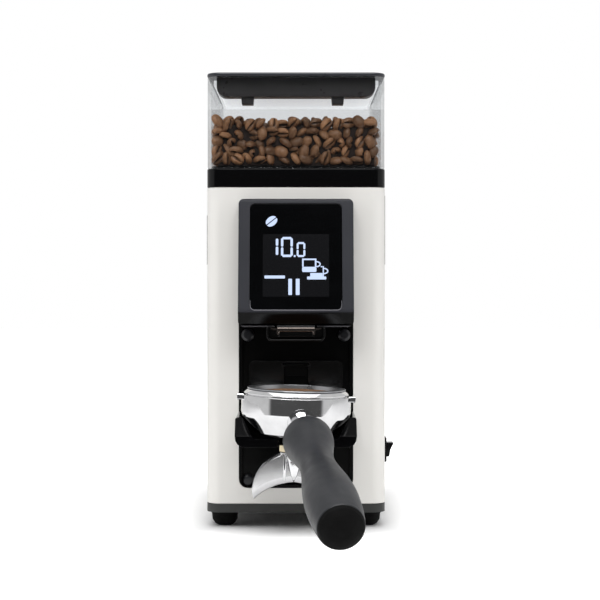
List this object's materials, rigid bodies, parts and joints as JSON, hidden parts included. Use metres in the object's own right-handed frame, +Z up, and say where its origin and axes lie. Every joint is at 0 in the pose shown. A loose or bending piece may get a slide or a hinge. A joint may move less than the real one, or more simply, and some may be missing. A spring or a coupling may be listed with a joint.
{
  "type": "burr coffee grinder",
  "caption": "Burr coffee grinder with a clear bean hopper, touch display, dosing outlet and a portafilter resting in its fork.",
  "frame": {"origin": "on the surface the feet stand on, under the centre of the whole object's box; X = 0 is the body's middle plane", "axes": "+Z up, -Y to the front (display and portafilter handle), +X to the right as seen from the front"},
  "size_m": [0.1404, 0.4408, 0.3313],
  "materials": {
    "shell_paint": "fine satin powder coat, cream white",
    "satin_black": "satin moulded plastic",
    "gloss_black": "polished black plastic",
    "panel_black": "fine textured black plastic",
    "base_grey": "textured dark grey plastic",
    "foot_rubber": "matt rubber",
    "soft_grip": "soft-touch coating",
    "clear_plastic": "clear moulded plastic, polished",
    "display_glass": "black glass with lit figures behind it",
    "chrome": "polished chrome plating",
    "dark_chrome": "dark polished metal",
    "steel": "plain steel",
    "cast_aluminium": "as cast, fine grain",
    "brass": "machined",
    "copper": "enamelled copper winding on steel laminations",
    "circuit_board": "green solder mask",
    "seal_white": "pale silicone",
    "roasted_bean": "oily roasted coffee beans",
    "ground_coffee": "ground coffee"
  },
  "bodies": {
    "housing": {"foot_front_left": "foot_rubber", "foot_rear_left": "foot_rubber", "foot_front_right": "foot_rubber", "foot_rear_right": "foot_rubber", "base_plate": "base_grey", "chassis": "steel", "body_shell": "shell_paint", "rear_cover": "satin_black", "rear_cover_screw_1": "steel", "rear_cover_screw_2": "steel", "rear_cover_screw_3": "steel", "rear_cover_screw_4": "steel", "front_panel": "panel_black", "panel_peg_upper_left": "panel_black", "panel_peg_upper_right": "panel_black", "panel_peg_lower_left": "panel_black", "panel_peg_lower_right": "panel_black", "collar": "gloss_black", "vent_plate": "satin_black", "adjuster_cover": "satin_black", "display_bezel": "satin_black", "display_glass": "display_glass", "display_module": "circuit_board", "chute": "steel", "outlet_shroud": "satin_black", "outlet_nozzle": "dark_chrome", "cell_plate": "panel_black", "microswitch": "panel_black", "portafilter_fork": "gloss_black", "motor_housing": "cast_aluminium", "stator": "copper", "motor_bearing_lower": "steel", "motor_bearing_upper": "steel", "grinding_chamber": "cast_aluminium", "rocker_bezel": "panel_black", "power_inlet": "panel_black", "control_board": "circuit_board", "motor_capacitor": "cast_aluminium"},
    "drive": {"rotor": "steel", "motor_shaft": "steel", "lower_burr_carrier": "cast_aluminium", "lower_burr": "steel"},
    "adjust_ring": {"adjust_ring": "brass", "upper_burr": "steel", "upper_burr_carrier": "brass"},
    "adjuster_wheel": {"adjuster_wheel": "satin_black"},
    "hopper": {"hopper": "clear_plastic", "hopper_funnel": "gloss_black", "bean_fill": "roasted_bean"},
    "gate": {"shutoff_gate": "satin_black"},
    "lid": {"lid": "satin_black", "lid_liner": "satin_black", "lid_seal": "seal_white"},
    "paddle": {"switch_paddle": "panel_black"},
    "rocker": {"power_rocker": "gloss_black"},
    "portafilter": {"portafilter_cup": "chrome", "filter_basket": "steel", "coffee_grounds": "ground_coffee", "spout": "chrome", "portafilter_handle": "soft_grip"}
  },
  "joints": [
    {"name": "lid_lift", "type": "slide", "parent": "hopper", "child": "lid", "axis": [0, 0, 1], "range_m": [0, 0.12]},
    {"name": "hopper_lift", "type": "slide", "parent": "housing", "child": "hopper", "axis": [0, 0, 1], "range_m": [0, 0.1]},
    {"name": "gate_slide", "type": "slide", "parent": "hopper", "child": "gate", "axis": [0, 1, 0], "range_m": [0, 0.04]},
    {"name": "drive_spin", "type": "hinge", "parent": "housing", "child": "drive", "pos_m": [0, 0.106, 0.1], "axis": [0, 0, 1], "continuous": true},
    {"name": "adjuster_turn", "type": "hinge", "parent": "housing", "child": "adjuster_wheel", "pos_m": [0.0525, 0.106, 0.23], "axis": [0, 0, 1], "range_deg": [-60, 540]},
    {"name": "ring_turn", "type": "hinge", "parent": "housing", "child": "adjust_ring", "pos_m": [0, 0.106, 0.228], "axis": [0, 0, 1], "range_deg": [-90, 10]},
    {"name": "paddle_press", "type": "hinge", "parent": "housing", "child": "paddle", "pos_m": [0, 0.027, 0.1175], "axis": [1, 0, 0], "range_deg": [0, 6], "stiffness_Nm_per_rad": 0.4},
    {"name": "rocker_tip", "type": "hinge", "parent": "housing", "child": "rocker", "pos_m": [0.065, 0.059, 0.054], "axis": [0, -1, 0], "range_deg": [0, 17]},
    {"name": "portafilter_pull", "type": "slide", "parent": "housing", "child": "portafilter", "axis": [0, -1, 0], "range_m": [0, 0.11]}
  ],
  "couplings": [
    {"joint": "ring_turn", "follows": "adjuster_turn", "ratio": -0.16667}
  ]
}
